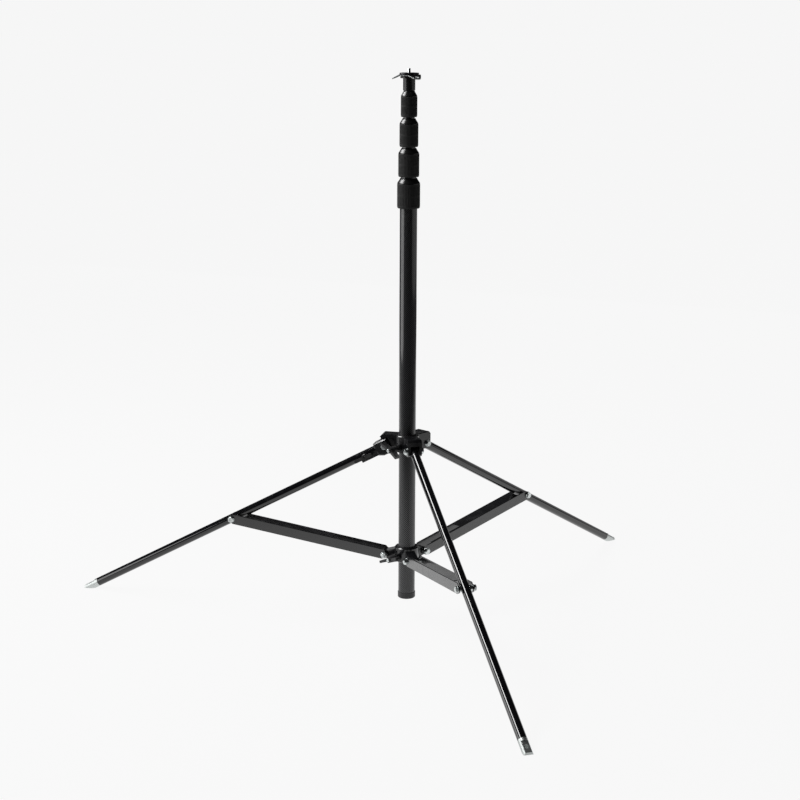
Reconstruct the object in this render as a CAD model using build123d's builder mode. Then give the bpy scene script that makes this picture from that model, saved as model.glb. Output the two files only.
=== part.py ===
"""Telescopic mast stand on a folding tripod base.

A five-section carbon tube mast slides through an upper and a lower hub. Three legs hinge on
the upper hub, and three channel struts brace them from the lower hub. The origin is on the
mast's axis at floor level, +Z up, and the front leg points along -Y.
"""
from build123d import *
from math import atan2, cos, degrees, hypot, radians, sin, tan
import os

os.makedirs("parts", exist_ok=True)

# ---- Clearances and fits --------------------------------------------------
running_fit = 0.05          # radial play of a pin or tube that turns or slides in its hole
free_gap = 0.3              # space between pieces that move past each other
wide_gap = 0.5              # space between pieces that only need to miss each other
edge_break = 0.6            # small chamfer on turned and moulded edges

# ---- Mast -----------------------------------------------------------------
mast_diameter = 40.0
section_count = 5
section_wall = 1.5
guide_wall = 0.75           # slip ring between one section and the next
guide_length = 30.0
mast_foot_height = 48.0     # lower end of the outermost tube above the floor
nesting_step = 4.0          # each section starts this much above the one around it
end_cap_wall = 0.9
end_cap_height = 14.0
end_cap_floor = 2.5
end_cap_bevel = 1.5

# ---- Twist locks, from the lowest and widest to the highest ----------------
first_lock_height = 985.0
grip_margins = [6.35, 6.3, 6.1, 5.65]   # from the tube's surface to the grip's
grip_lengths = [55.5, 52.0, 51.0, 45.5]
lock_cone_height = 13.0
lock_neck = 3.0             # bare tube between one lock and the next
grip_thickness = 1.8
grip_bevel = 3.5
grip_heel = 0.4             # thickness left where the bevel meets the grip's lower end
grip_rib_count = 36
grip_rib_depth = 0.7
grip_rib_width = 1.6
grip_rib_margin = 2.0       # plain band at each end of the ribs
collar_edge = 1.2           # upright edge under the cone
collar_inset = 0.4          # the edge stands this far inside the grip's surface
collar_lip = 1.0
collar_neck_wall = 1.6
collar_roof = 2.0
lock_base_wall = 1.6
lock_play = 0.15
lock_base_inset = 5.0       # lock base starts this far above the grip's lower end
lock_base_overlap = 6.0     # lock base stands this far above the tube's end
tube_end_below_shoulder = 14.0
collet_slit = 1.6

# ---- Mast head ------------------------------------------------------------
top_cap_wall = 3.05
top_cap_height = 33.0
cap_flange_diameter = 40.0
cap_flange_thickness = 5.2
top_cap_roof = 5.0
top_cap_bevel = 1.2
ring_seat_diameter = 18.0
guy_ring_thickness = 2.0
guy_plate_inradius = 25.6   # from the mast's axis to the guy plate's straight sides
guy_corner_radius = 10.8
guy_bend_radius = 21.5      # from the mast's axis to the lines where its corners bend
guy_bend_angle = 26.0       # degrees down
guy_ear_count = 3
guy_ear_azimuth = -74.0
guy_hole_distance = 11.0    # from the bend to the hole, along the ear
guy_hole_radius = 4.0
top_plate_diameter = 44.0
top_plate_thickness = 4.0
top_plate_bevel = 1.2
stud_radius = 3.175
stud_length = 10.0
stud_shank_radius = 2.6
stud_relief = 0.5           # thin shank shows this far above the plate
stud_recess_radius = 3.6    # shallow recess in the plate, clear of the stud
stud_recess_depth = 0.6

# ---- Tripod layout --------------------------------------------------------
leg_azimuths = {"front": -90.0, "right": 30.0, "left": 150.0}
level_leg = "left"          # the leg that slides in a clamp block to level the stand
pivot_radius = 52.0
upper_pivot_height = 421.0
lower_pivot_height = 152.0
foot_radius = 826.0         # where a leg's centre line meets the floor
strut_joint_distance = 437.0    # from the upper pivot down the leg to the strut's bolt

# ---- Legs -----------------------------------------------------------------
leg_diameter = 20.8
leg_wall = 1.5
leg_head_length = 26.0
head_step = 0.5             # the head's cross barrel is this much slimmer than the leg
head_proud = 0.1            # the cross barrel stands this far past the leg's sides
plug_length = 28.0
foot_length = 34.0          # bare part of the foot along the leg
foot_tip_trim = 6.0         # the foot's nose stands this far past the leg's centre line
foot_flat_height = 7.5
foot_flat_start = 7.0       # flat top starts this far along the foot
foot_plug_length = 30.0
peg_hole_radius = 4.5
peg_hole_inset = 13.0

# ---- Struts ---------------------------------------------------------------
strut_side_gap = 4.85       # from the leg's side to the strut's wall
strut_wall = 2.0
strut_web_gap = 1.1         # the web passes this far above the leg's radius
strut_skirt_drop = 11.0     # lower edge of the side walls below the pivot line
strut_end_radius = 9.0
strut_corner = 5.0          # slope from the straight edges to the rounded ends
strut_edge_radius = 1.5
web_cut_at_hub = 24.0
web_cut_margin = 1.6
web_slot_length = 132.0     # slot that lets the hub's lug pass through the web

# ---- Bolts ----------------------------------------------------------------
bolt_radius = 4.0
bolt_head_height = 5.0
bolt_head_across = 13.0
bolt_head_bevel = 0.9
washer_radius = 8.0
washer_thickness = 1.5
spacer_radius = 7.0

# ---- Hubs -----------------------------------------------------------------
liner_thickness = 2.2
hub_wall = 6.25
fork_ear = 6.2
fork_reach = 11.0           # fork stands this far past the pivot
fork_foot_bevel = 4.0
fork_nose_bevel = 6.0       # height of the sloped nose
fork_nose_run = 5.0         # length of the sloped nose
fork_rim_bevel = 1.6
upper_hub_rise = 29.0
upper_hub_drop = 11.0
fork_roof_clearance = 3.0
roof_thickness = 7.0        # roof over the levelling leg's lug
lug_width = 22.0
lug_end_radius = 9.0
lug_shoulder = 8.0
level_lug_width = 16.0
lower_hub_rise = 22.0
lower_hub_drop = 14.0
lower_hub_bevel = 2.0

# ---- Wing knobs -----------------------------------------------------------
knob_azimuth = -150.0
knob_tilts = {"upper": -28.0, "lower": 20.0}    # wings' angle about the screw
knob_boss_radius = 9.0
knob_boss_length = 11.5     # boss stands this far out of the hub's ring
knob_screw_radius = 4.0
knob_screw_end = 3.0        # screw shows this far past the knob
knob_hub_radius = 8.5
knob_hub_length = 24.0
knob_draft = 5.0            # degrees
wing_span = 56.0
wing_root = 7.0             # half depth of a wing where it leaves the knob's body
wing_tip = 9.5              # half depth of a wing at its tip
wing_foot_span = 28.0       # span where the wings' inner edge starts to flare
wing_shoulder_span = 18.6   # span where the wings' outer edge starts to flare
wing_thickness = 6.0
wing_rise = 17.0            # middle of the wings beyond the boss

# ---- Levelling clamp on the left leg --------------------------------------
level_block_start = -12.0   # along the leg from the pivot
level_block_end = 24.0
level_block_side = 9.3      # from the lug's side to the block's
level_block_top = 5.6       # from the leg's surface to the block's top
level_block_drop = 20.0     # block's lower face below the leg's centre line
level_block_bevel = 5.0
level_side_bevel = 3.0      # chamfer around the block's two sides
level_tongue_thickness = 4.0
level_tongue_reach = 10.0   # tongue runs this far past its screw
level_boss_radius = 7.0
level_boss_length = 6.0
level_screw_distance = 58.0
level_screw_radius = 3.0
level_screw_drop = 3.0      # screw below the leg's centre line
level_screw_length = 20.0
level_wing_span = 46.0
level_wing_height = 7.0
level_wing_rise = 7.0       # wing starts this far along its screw
level_wing_depth = 7.0

# ---- Values that follow ---------------------------------------------------
mast_radius = mast_diameter / 2
section_step = 2 * (section_wall + running_fit + guide_wall)
section_diameters = [mast_diameter - index * section_step for index in range(section_count)]
lock_count = section_count - 1
grip_diameters = [section_diameters[index] + 2 * grip_margins[index] for index in range(lock_count)]
top_cap_diameter = section_diameters[-1] + 2 * top_cap_wall
leg_radius = leg_diameter / 2
leg_slope = degrees(atan2(upper_pivot_height, foot_radius - pivot_radius))
leg_length = hypot(upper_pivot_height, foot_radius - pivot_radius)
joint_radius = pivot_radius + strut_joint_distance * cos(radians(leg_slope))
joint_height = upper_pivot_height - strut_joint_distance * sin(radians(leg_slope))
strut_length = hypot(joint_radius - pivot_radius, joint_height - lower_pivot_height)
strut_slope = degrees(atan2(joint_height - lower_pivot_height, joint_radius - pivot_radius))
strut_inside = leg_radius + strut_side_gap
strut_width = 2 * (strut_inside + strut_wall)
strut_web_rise = leg_radius + strut_web_gap
joint_angle = radians(leg_slope + strut_slope)
web_top = strut_web_rise + strut_wall
web_cut_at_leg = web_top / tan(joint_angle) + leg_radius / sin(joint_angle) + web_cut_margin
liner_bore = mast_radius + running_fit
hub_bore = liner_bore + liner_thickness
hub_ring_radius = hub_bore + hub_wall
knob_boss_reach = hub_ring_radius + knob_boss_length
fork_gap = 2 * (leg_radius + head_proud + free_gap)
fork_width = fork_gap + 2 * fork_ear
level_block_width = level_lug_width + 2 * level_block_side


def lock_bottom(index):
    """Height of the lower end of a twist lock's grip."""
    below = sum(grip_lengths[:index])
    return first_lock_height + below + index * (lock_cone_height + lock_neck)


def lock_shoulder(index):
    """Height where a twist lock's grip ends and its cone begins."""
    return lock_bottom(index) + grip_lengths[index]


lock_top = lock_shoulder(lock_count - 1) + lock_cone_height
cap_bottom = lock_top + free_gap
cap_top = cap_bottom + top_cap_height
plate_bottom = cap_top + guy_ring_thickness + 2 * free_gap
plate_top = plate_bottom + top_plate_thickness


def save(builder, node):
    """Name a finished piece and write it out."""
    builder.part.label = node
    export_step(builder.part, f"parts/{node}.step")


def side_plane(azimuth, radius, height, slope):
    """Upright plane through the mast's axis: x runs outward and rises by the slope."""
    outward = Vector(cos(radians(azimuth)), sin(radians(azimuth)), 0)
    along = outward * cos(radians(slope)) + Vector(0, 0, 1) * sin(radians(slope))
    sideways = Vector(sin(radians(azimuth)), -cos(radians(azimuth)), 0)
    origin = outward * radius + Vector(0, 0, height)
    return Plane(origin=origin, x_dir=along, z_dir=sideways)


def leg_plane(azimuth):
    """Plane of a leg, with its origin at the upper pivot and x down the leg."""
    return side_plane(azimuth, pivot_radius, upper_pivot_height, -leg_slope)


def strut_plane(azimuth):
    """Plane of a strut, with its origin at the lower pivot and x up the strut."""
    return side_plane(azimuth, pivot_radius, lower_pivot_height, strut_slope)


def ring(inner, outer, bottom, top):
    """Profile of a plain ring about Z, drawn on the XZ plane."""
    with BuildSketch(Plane.XZ) as profile:
        with Locations(((inner + outer) / 2, (bottom + top) / 2)):
            Rectangle(outer - inner, top - bottom)
    return profile.sketch


# ---- Mast tubes -----------------------------------------------------------
def tube_end(index):
    """Height of the upper end of a mast section."""
    if index < lock_count:
        return lock_shoulder(index) - tube_end_below_shoulder
    return cap_top - top_cap_roof


def tube_start(index):
    """Height of the lower end of a mast section when the mast is closed."""
    if index == 0:
        return mast_foot_height
    return mast_foot_height + end_cap_floor + index * nesting_step + end_cap_height


def make_tube(index):
    """One section of the mast."""
    radius = section_diameters[index] / 2
    with BuildPart() as tube:
        with BuildSketch(Plane.XY.offset(tube_start(index))):
            Circle(radius)
            Circle(radius - section_wall, mode=Mode.SUBTRACT)
        extrude(amount=tube_end(index) - tube_start(index))
    save(tube, f"tube_{index + 1}")


def make_tube_guide(index):
    """Slip ring on the lower end of an inner section, running in the tube around it."""
    inner = section_diameters[index] / 2
    outer = section_diameters[index - 1] / 2 - section_wall - running_fit
    bottom = tube_start(index)
    with BuildPart() as guide:
        add(ring(inner, outer, bottom, bottom + guide_length))
        revolve(axis=Axis.Z)
    save(guide, f"tube_guide_{index + 1}")


def make_mast_end_cap():
    """Cup pressed over the mast's lower end."""
    outer = mast_radius + end_cap_wall
    bottom = mast_foot_height - end_cap_floor
    with BuildPart() as cap:
        with BuildSketch(Plane.XY.offset(bottom)):
            Circle(outer)
        extrude(amount=end_cap_height)
        chamfer(cap.edges().group_by(Axis.Z)[0], length=end_cap_bevel)
        with BuildSketch(Plane.XY.offset(mast_foot_height)):
            Circle(mast_radius)
        extrude(amount=end_cap_height, mode=Mode.SUBTRACT)
    save(cap, "mast_end_cap")


# ---- Twist locks ----------------------------------------------------------
def make_lock_base(index):
    """Threaded sleeve bonded over the upper end of a tube."""
    inner = section_diameters[index] / 2
    bottom = lock_bottom(index) + lock_base_inset
    top = tube_end(index) + lock_base_overlap
    with BuildPart() as base:
        add(ring(inner, inner + lock_base_wall, bottom, top))
        revolve(axis=Axis.Z)
    save(base, f"lock_base_{index + 1}")


def make_lock_collet(index):
    """Split ring that the lock squeezes onto the sliding tube."""
    inner = section_diameters[index + 1] / 2 + running_fit
    outer = section_diameters[index] / 2
    bottom = tube_end(index)
    height = tube_end_below_shoulder - 2 * free_gap - collar_roof
    with BuildPart() as collet:
        add(ring(inner, outer, bottom, bottom + height))
        revolve(axis=Axis.Z)
        with BuildSketch(Plane.XY.offset(bottom)):
            with Locations((outer, 0)):
                Rectangle(outer, collet_slit)
        extrude(amount=height, mode=Mode.SUBTRACT)
    save(collet, f"lock_collet_{index + 1}")


def make_lock_collar(index):
    """Turning collar with a cone top, closed down to the sliding tube."""
    grip_radius = grip_diameters[index] / 2
    body = grip_radius - grip_thickness
    wide_bore = section_diameters[index] / 2 + lock_base_wall + lock_play
    neck_bore = section_diameters[index + 1] / 2 + free_gap
    neck = neck_bore + collar_neck_wall
    edge = grip_radius - collar_inset
    bottom = lock_bottom(index) + collar_lip
    shoulder = lock_shoulder(index)
    cone_top = shoulder + lock_cone_height
    ledge = shoulder - collar_roof
    with BuildPart() as collar:
        with BuildSketch(Plane.XZ):
            with BuildLine():
                Polyline(
                    (wide_bore, bottom),
                    (body, bottom),
                    (body, shoulder),
                    (edge, shoulder),
                    (edge, shoulder + collar_edge),
                    (neck, cone_top - collar_lip),
                    (neck, cone_top),
                    (neck_bore, cone_top),
                    (neck_bore, ledge),
                    (wide_bore, ledge),
                    close=True,
                )
            make_face()
        revolve(axis=Axis.Z)
    save(collar, f"lock_collar_{index + 1}")


def make_lock_grip(index):
    """Ribbed rubber sleeve over the collar, bevelled at its lower end."""
    outer = grip_diameters[index] / 2
    inner = outer - grip_thickness
    bottom = lock_bottom(index)
    height = grip_lengths[index]
    with BuildPart() as grip:
        with BuildSketch(Plane.XZ):
            with BuildLine():
                Polyline(
                    (inner, bottom),
                    (inner + grip_heel, bottom),
                    (outer, bottom + grip_bevel),
                    (outer, bottom + height - edge_break),
                    (outer - edge_break, bottom + height),
                    (inner, bottom + height),
                    close=True,
                )
            make_face()
        revolve(axis=Axis.Z)
        with BuildSketch(Plane.XY.offset(bottom + grip_bevel + grip_rib_margin)):
            with PolarLocations(outer, grip_rib_count):
                Rectangle(2 * grip_rib_depth, grip_rib_width)
        extrude(amount=height - grip_bevel - 2 * grip_rib_margin, mode=Mode.SUBTRACT)
    save(grip, f"lock_grip_{index + 1}")


# ---- Mast head ------------------------------------------------------------
def make_top_cap():
    """Cap over the innermost tube, with a neck that carries the guy ring and the plate."""
    tube_radius = section_diameters[-1] / 2
    with BuildPart() as cap:
        with BuildSketch(Plane.XY.offset(cap_bottom)):
            Circle(top_cap_diameter / 2)
        extrude(amount=top_cap_height)
        with BuildSketch(Plane.XY.offset(cap_top - cap_flange_thickness)):
            Circle(cap_flange_diameter / 2)
        extrude(amount=cap_flange_thickness)
        chamfer(cap.edges().filter_by(GeomType.CIRCLE).group_by(Axis.Z)[0], length=top_cap_bevel)
        chamfer(cap.edges().filter_by(GeomType.CIRCLE).group_by(Axis.Z)[-1], length=top_cap_bevel)
        with BuildSketch(Plane.XY.offset(cap_top)):
            Circle(ring_seat_diameter / 2)
        extrude(amount=plate_bottom - cap_top)
        with BuildSketch(Plane.XY.offset(cap_bottom)):
            Circle(tube_radius)
        extrude(amount=tube_end(lock_count) - cap_bottom, mode=Mode.SUBTRACT)
    save(cap, "top_cap")


def guy_ear_plane(azimuth, bend):
    """Plane of a guy plate's part: its origin on the bend at half thickness, x outward."""
    outward = Vector(cos(radians(azimuth)), sin(radians(azimuth)), 0)
    along = outward * cos(radians(bend)) - Vector(0, 0, 1) * sin(radians(bend))
    sideways = Vector(-sin(radians(azimuth)), cos(radians(azimuth)), 0)
    height = cap_top + free_gap + guy_ring_thickness / 2
    origin = outward * guy_bend_radius + Vector(0, 0, height)
    return Plane(origin=origin, x_dir=along, z_dir=along.cross(sideways))


def guy_corners():
    """Corners of a triangle with one on x and its middle a bend radius short of the origin."""
    reach = 2 * guy_plate_inradius
    turns = [radians(corner * 360 / guy_ear_count) for corner in range(guy_ear_count)]
    return [(reach * cos(turn) - guy_bend_radius, reach * sin(turn)) for turn in turns]


def make_guy_ring():
    """Loose three-cornered steel plate, its drilled corners bent down, for guy lines."""
    half = guy_ring_thickness / 2
    mitre = half * tan(radians(guy_bend_angle / 2))
    reach = 2 * guy_plate_inradius
    with BuildPart() as guy_ring:
        azimuths = [guy_ear_azimuth + ear * 360 / guy_ear_count for ear in range(guy_ear_count)]
        with BuildSketch(guy_ear_plane(azimuths[0], 0)) as flat:
            with BuildLine():
                Polyline(*guy_corners(), close=True)
            make_face()
            fillet(flat.vertices(), radius=guy_corner_radius)
        extrude(amount=half, both=True)
        for azimuth in azimuths:
            with BuildSketch(guy_ear_plane(azimuth, 0)):
                with Locations((mitre + reach / 2, 0)):
                    Rectangle(reach, 2 * reach)
            extrude(amount=half, both=True, mode=Mode.SUBTRACT)
        with BuildSketch(Plane.XY.offset(cap_top)):
            Circle(ring_seat_diameter / 2 + free_gap)
        extrude(amount=plate_bottom - cap_top, mode=Mode.SUBTRACT)
        for azimuth in azimuths:
            with BuildSketch(guy_ear_plane(azimuth, guy_bend_angle)) as corner:
                with BuildLine():
                    Polyline(*guy_corners(), close=True)
                make_face()
                fillet(corner.vertices(), radius=guy_corner_radius)
                with Locations((reach / 2 - mitre, 0)):
                    Rectangle(reach, 2 * reach, mode=Mode.INTERSECT)
                with Locations((guy_hole_distance, 0)):
                    Circle(guy_hole_radius, mode=Mode.SUBTRACT)
            extrude(amount=half, both=True)
    save(guy_ring, "guy_ring")


def make_top_plate():
    """Round platform that a fitting screws down onto."""
    with BuildPart() as plate:
        with BuildSketch(Plane.XY.offset(plate_bottom)):
            Circle(top_plate_diameter / 2)
        extrude(amount=top_plate_thickness)
        chamfer(plate.edges().group_by(Axis.Z)[0], length=top_plate_bevel)
        chamfer(plate.edges().group_by(Axis.Z)[-1], length=edge_break)
        with BuildSketch(Plane.XY.offset(plate_bottom)):
            Circle(stud_shank_radius)
        extrude(amount=top_plate_thickness, mode=Mode.SUBTRACT)
        with BuildSketch(Plane.XY.offset(plate_top - stud_recess_depth)):
            Circle(stud_recess_radius)
        extrude(amount=stud_recess_depth, mode=Mode.SUBTRACT)
    save(plate, "top_plate")


def make_top_stud():
    """Threaded stud with a thin shank pressed into the platform."""
    with BuildPart() as stud:
        with BuildSketch(Plane.XY.offset(plate_top + stud_relief)):
            Circle(stud_radius)
        extrude(amount=stud_length - stud_relief)
        chamfer(stud.edges().group_by(Axis.Z)[-1], length=edge_break)
        with BuildSketch(Plane.XY.offset(plate_bottom)):
            Circle(stud_shank_radius)
        extrude(amount=top_plate_thickness + stud_relief)
    save(stud, "top_stud")


# ---- Bolts ----------------------------------------------------------------
def add_bolt_head(plane, distance, flip):
    """Washer and crowned hexagon head on a pin's axis, growing away from the plane's origin."""
    side = -1 if flip else 1
    start = distance + washer_thickness
    crown = start + bolt_head_height - bolt_head_bevel
    with BuildSketch(plane.offset(side * distance)) as washer:
        Circle(washer_radius)
    extrude(washer.sketch, amount=side * washer_thickness)
    with BuildSketch(plane.offset(side * start)) as head:
        RegularPolygon(radius=bolt_head_across / 2, side_count=6, major_radius=False)
    extrude(head.sketch, amount=side * (bolt_head_height - bolt_head_bevel))
    with BuildSketch(plane.offset(side * crown)) as base:
        Circle(bolt_head_across / 2)
    with BuildSketch(plane.offset(side * (crown + bolt_head_bevel))) as top:
        Circle(bolt_head_across / 2 - bolt_head_bevel)
    loft([base.sketch, top.sketch])


def add_through_bolt(plane, half_grip):
    """Bolt along the plane's normal, with a washer and a head at each end."""
    with BuildSketch(plane.offset(-half_grip)) as shank:
        Circle(bolt_radius)
    extrude(shank.sketch, amount=2 * half_grip)
    add_bolt_head(plane, half_grip, False)
    add_bolt_head(plane, half_grip, True)


# ---- Hubs -----------------------------------------------------------------
def add_hub_ring(bottom, top):
    """Solid round body of a hub, before it is bored."""
    with BuildSketch(Plane.XY.offset(bottom)) as body:
        Circle(hub_ring_radius)
    extrude(body.sketch, amount=top - bottom)


def knob_plane(height, reach):
    """Plane across the clamp screw's axis, facing away from the mast."""
    outward = Vector(cos(radians(knob_azimuth)), sin(radians(knob_azimuth)), 0)
    origin = outward * reach + Vector(0, 0, height)
    return Plane(origin=origin, x_dir=(0, 0, 1), z_dir=outward)


def add_knob_boss(height):
    """Boss that the clamp screw threads through."""
    start = hub_bore + wide_gap
    with BuildSketch(knob_plane(height, start)) as boss:
        Circle(knob_boss_radius)
    extrude(boss.sketch, amount=knob_boss_reach - start)


def cut_hub_bores(height, bottom, top):
    """Bore for the liner, and the clamp screw's hole."""
    with BuildSketch(Plane.XY.offset(bottom)) as bore:
        Circle(hub_bore)
    extrude(bore.sketch, amount=top - bottom, mode=Mode.SUBTRACT)
    with BuildSketch(knob_plane(height, 0)) as screw_hole:
        Circle(knob_screw_radius + running_fit)
    extrude(screw_hole.sketch, amount=knob_boss_reach, mode=Mode.SUBTRACT)


def add_fork_arm(azimuth, bottom, top):
    """Solid arm from the mast's axis to just past a pivot, sloped at its nose and foot."""
    reach = pivot_radius + fork_reach
    with BuildSketch(side_plane(azimuth, 0, 0, 0)) as arm:
        with BuildLine():
            Polyline(
                (mast_radius, bottom),
                (reach - fork_foot_bevel, bottom),
                (reach, bottom + fork_foot_bevel),
                (reach, top - fork_nose_bevel),
                (reach - fork_nose_run, top),
                (mast_radius, top),
                close=True,
            )
        make_face()
    extrude(arm.sketch, amount=fork_width / 2, both=True)


def cut_under_roof(azimuth, bottom, roof):
    """Clear an arm below its roof, out from the hub's ring, for the levelling leg's block."""
    reach = pivot_radius + 2 * fork_reach
    with BuildSketch(side_plane(azimuth, 0, 0, 0)) as space:
        with Locations(((hub_ring_radius + reach) / 2, (bottom + roof) / 2)):
            Rectangle(reach - hub_ring_radius, roof - bottom)
    extrude(space.sketch, amount=fork_width, both=True, mode=Mode.SUBTRACT)


def cut_fork_slot(azimuth, top):
    """Slot that the leg's head turns in, open below and outward."""
    start = -(leg_radius + wide_gap)
    with BuildSketch(side_plane(azimuth, pivot_radius, upper_pivot_height, 0)) as slot:
        with BuildLine():
            Polyline(
                (start, -2 * upper_hub_drop),
                (2 * fork_reach, -2 * upper_hub_drop),
                (2 * fork_reach, top),
                (start, top),
                close=True,
            )
        make_face()
    extrude(slot.sketch, amount=fork_gap / 2, both=True, mode=Mode.SUBTRACT)


def add_level_lug(azimuth, top):
    """Round-ended lug under the roof for the levelling leg's block."""
    plane = side_plane(azimuth, pivot_radius, upper_pivot_height, 0)
    rise = top - upper_pivot_height
    with BuildSketch(plane) as lug:
        Circle(fork_reach)
        with BuildLine():
            Polyline(
                (mast_radius - pivot_radius, -fork_reach),
                (0, -fork_reach),
                (fork_reach, 0),
                (fork_reach, rise - roof_thickness),
                (mast_radius - pivot_radius, rise - roof_thickness),
                close=True,
            )
        make_face()
    extrude(lug.sketch, amount=level_lug_width / 2, both=True)


def make_upper_hub():
    """Casting around the mast with two roofed forks and a roofed lug for the legs."""
    bottom = upper_pivot_height - upper_hub_drop
    top = upper_pivot_height + upper_hub_rise
    with BuildPart() as hub:
        add_hub_ring(bottom, top)
        for azimuth in leg_azimuths.values():
            add_fork_arm(azimuth, bottom, top)
        rims = hub.faces().filter_by(Axis.Z).sort_by(Axis.Z)
        chamfer(rims[-1].outer_wire().edges(), length=fork_rim_bevel)
        cut_under_roof(leg_azimuths[level_leg], bottom, top - roof_thickness)
        add_level_lug(leg_azimuths[level_leg], top)
        add_knob_boss(upper_pivot_height)
        for name, azimuth in leg_azimuths.items():
            if name != level_leg:
                cut_fork_slot(azimuth, leg_radius + fork_roof_clearance)
            with BuildSketch(side_plane(azimuth, pivot_radius, upper_pivot_height, 0)):
                Circle(bolt_radius)
            extrude(amount=fork_width, both=True, mode=Mode.SUBTRACT)
        cut_hub_bores(upper_pivot_height, bottom, top)
    save(hub, "upper_hub")


def make_lower_hub():
    """Casting around the mast with three solid lugs between the struts' walls."""
    bottom = lower_pivot_height - lower_hub_drop
    top = lower_pivot_height + lower_hub_rise
    with BuildPart() as hub:
        add_hub_ring(bottom, top)
        chamfer(hub.edges().filter_by(GeomType.CIRCLE), length=lower_hub_bevel)
        for azimuth in leg_azimuths.values():
            with BuildSketch(side_plane(azimuth, 0, lower_pivot_height, 0)):
                with BuildLine():
                    outline = Polyline(
                        (mast_radius, -lower_hub_drop),
                        (pivot_radius - lug_shoulder / 2, -lug_end_radius),
                        (pivot_radius, -lug_end_radius),
                    )
                    RadiusArc(outline @ 1, (pivot_radius, lug_end_radius), -lug_end_radius)
                    Polyline(
                        (pivot_radius, lug_end_radius),
                        (pivot_radius - lug_shoulder, lug_end_radius + lower_hub_bevel),
                        (mast_radius, lower_hub_rise - 2 * lower_hub_bevel),
                        (mast_radius, -lower_hub_drop),
                    )
                make_face()
            extrude(amount=lug_width / 2, both=True)
            with BuildSketch(side_plane(azimuth, pivot_radius, lower_pivot_height, 0)):
                Circle(bolt_radius)
            extrude(amount=lug_width, both=True, mode=Mode.SUBTRACT)
        add_knob_boss(lower_pivot_height)
        cut_hub_bores(lower_pivot_height, bottom, top)
    save(hub, "lower_hub")


def make_hub_liner(node, height, drop, rise):
    """Plastic sleeve that slides on the mast inside a hub, holed for the clamp screw."""
    with BuildPart() as liner:
        add(ring(liner_bore, hub_bore, height - drop, height + rise))
        revolve(axis=Axis.Z)
        with BuildSketch(knob_plane(height, 0)):
            Circle(knob_screw_radius + running_fit)
        extrude(amount=2 * hub_ring_radius, mode=Mode.SUBTRACT)
    save(liner, f"{node}_liner")


def make_clamp_screw(node, height):
    """Screw from the wing knob through the hub's boss to the mast."""
    start = mast_radius + free_gap
    length = knob_boss_reach + knob_hub_length + knob_screw_end - start
    with BuildPart() as screw:
        with BuildSketch(knob_plane(height, start)):
            Circle(knob_screw_radius)
        extrude(amount=length)
        chamfer(screw.edges().filter_by(GeomType.CIRCLE), length=edge_break)
    save(screw, f"{node}_clamp_screw")


def knob_wing_plane(height, tilt):
    """Plane of the wings: x runs out along the screw, and it tilts about the screw."""
    outward = Vector(cos(radians(knob_azimuth)), sin(radians(knob_azimuth)), 0)
    across = Vector(-sin(radians(knob_azimuth)), cos(radians(knob_azimuth)), 0)
    normal = Vector(0, 0, 1) * cos(radians(tilt)) - across * sin(radians(tilt))
    return Plane(origin=(0, 0, height), x_dir=outward, z_dir=normal)


def make_wing_knob(node, height):
    """Moulded knob with two flared wings, bored for its screw."""
    start = knob_boss_reach + wide_gap
    middle = knob_boss_reach + wing_rise
    with BuildPart() as knob:
        with BuildSketch(knob_plane(height, start)):
            Circle(knob_hub_radius)
        extrude(amount=knob_hub_length - wide_gap, taper=knob_draft)
        for side in (1, -1):
            tip = side * wing_span / 2
            with BuildSketch(knob_wing_plane(height, knob_tilts[node])):
                with BuildLine():
                    Polyline(
                        (middle - wing_root, 0),
                        (middle - wing_root, side * wing_foot_span / 2),
                        (middle - wing_tip / 2, tip),
                        (middle + wing_tip, tip),
                        (middle + wing_root, side * wing_shoulder_span / 2),
                        (middle + wing_root - knob_screw_end, 0),
                        close=True,
                    )
                make_face()
            extrude(amount=wing_thickness / 2, both=True)
        with BuildSketch(knob_plane(height, 0)):
            Circle(knob_screw_radius)
        extrude(amount=2 * pivot_radius, mode=Mode.SUBTRACT)
    save(knob, f"{node}_wing_knob")


def make_leg_pivot_bolts():
    """Three bolts on the legs' pivots, through the upper hub's forks and the level block."""
    with BuildPart() as bolts:
        for name, azimuth in leg_azimuths.items():
            plane = side_plane(azimuth, pivot_radius, upper_pivot_height, 0)
            width = level_block_width + 2 * free_gap if name == level_leg else fork_width
            add_through_bolt(plane, width / 2)
    save(bolts, "leg_pivot_bolts")


# ---- Legs -----------------------------------------------------------------
def make_leg_head(name, azimuth):
    """Rounded fitting that turns in the hub's fork and plugs into the leg tube."""
    plane = leg_plane(azimuth)
    with BuildPart() as head:
        with BuildSketch(plane):
            with Locations((leg_head_length / 2, leg_radius / 2)):
                Rectangle(leg_head_length, leg_radius)
            plug_radius = leg_radius - leg_wall
            with Locations((leg_head_length + plug_length / 2, plug_radius / 2)):
                Rectangle(plug_length, plug_radius)
        revolve(axis=Axis(plane.origin, plane.x_dir))
        with BuildSketch(plane):
            Circle(leg_radius - head_step)
        extrude(amount=fork_gap / 2 - free_gap, both=True)
        with BuildSketch(plane):
            Circle(bolt_radius + running_fit)
        extrude(amount=fork_gap, both=True, mode=Mode.SUBTRACT)
    save(head, f"leg_head_{name}")


def make_leg_tube(name, azimuth):
    """Leg tube from its head to its foot, drilled for the strut's bolt."""
    plane = leg_plane(azimuth)
    start = fork_reach + 2 * wide_gap if name == level_leg else leg_head_length
    end = leg_length - foot_length
    with BuildPart() as tube:
        with BuildSketch(plane):
            with Locations(((start + end) / 2, leg_radius - leg_wall / 2)):
                Rectangle(end - start, leg_wall)
        revolve(axis=Axis(plane.origin, plane.x_dir))
        with BuildSketch(plane):
            with Locations((strut_joint_distance, 0)):
                Circle(bolt_radius)
        extrude(amount=leg_diameter, both=True, mode=Mode.SUBTRACT)
    save(tube, f"leg_tube_{name}")


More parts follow.
